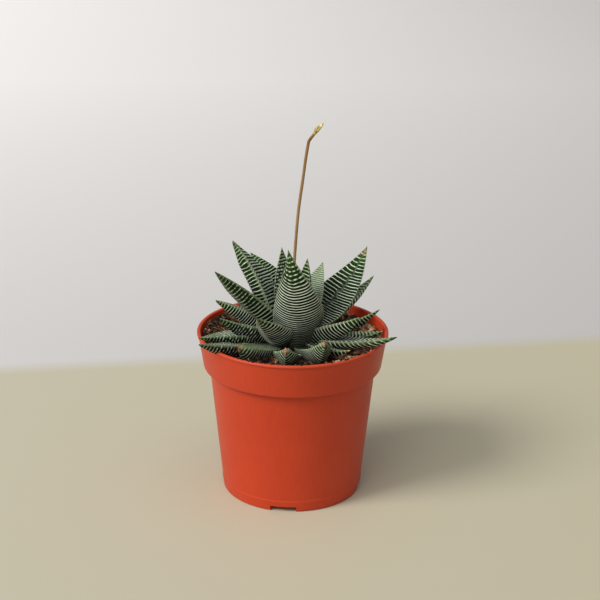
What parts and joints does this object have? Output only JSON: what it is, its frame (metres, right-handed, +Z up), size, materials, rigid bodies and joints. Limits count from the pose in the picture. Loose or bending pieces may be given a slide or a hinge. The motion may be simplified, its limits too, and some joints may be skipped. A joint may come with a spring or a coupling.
{
  "type": "potted haworthia",
  "caption": "Rosette of thick pointed leaves with raised pale cross ridges and a dry flower stalk, in a round tapered nursery pot filled with soil.",
  "frame": {"origin": "middle of the pot's foot disc, on the surface that the pot stands on", "axes": "+Z up along the pot's axis, -Y towards the side that the picture shows, +X to its right"},
  "size_m": [0.108, 0.105, 0.2086],
  "materials": {
    "pot_plastic": "moulded plastic with a soft sheen",
    "soil": "loose fibrous potting soil",
    "stem": "matt plant stem",
    "dry_stalk": "dry plant fibre",
    "leaf": "firm waxy leaf with raised white ridges",
    "pebble": "rough small pebble"
  },
  "bodies": {
    "root": {"pot": "pot_plastic", "soil": "soil", "stem": "stem", "flower_stalk": "dry_stalk", "leaf_heart_back": "leaf", "leaf_heart_left": "leaf", "leaf_heart_right": "leaf", "leaf_heart_front": "leaf", "leaf_inner_right": "leaf", "leaf_inner_left": "leaf", "leaf_front_centre": "leaf", "leaf_inner_back": "leaf", "leaf_upper_left_back": "leaf", "leaf_right_large": "leaf", "leaf_upper_left": "leaf", "leaf_left_large": "leaf", "leaf_front_left": "leaf", "leaf_right_front": "leaf", "leaf_right_back": "leaf", "leaf_left_middle": "leaf", "leaf_back_middle": "leaf", "leaf_back_left_middle": "leaf", "leaf_left_front": "leaf", "leaf_right_dark_tip": "leaf", "leaf_front_low": "leaf", "leaf_front_right_low": "leaf", "leaf_front_left_low": "leaf", "leaf_right_low": "leaf", "leaf_left_low": "leaf", "leaf_right_overhanging": "leaf", "leaf_left_overhanging": "leaf", "leaf_right_small": "leaf", "leaf_back_left": "leaf", "leaf_back_left_low": "leaf", "leaf_back_low": "leaf", "leaf_back_right_low": "leaf", "pebble_large": "pebble", "pebble_small": "pebble"}
  },
  "joints": []
}
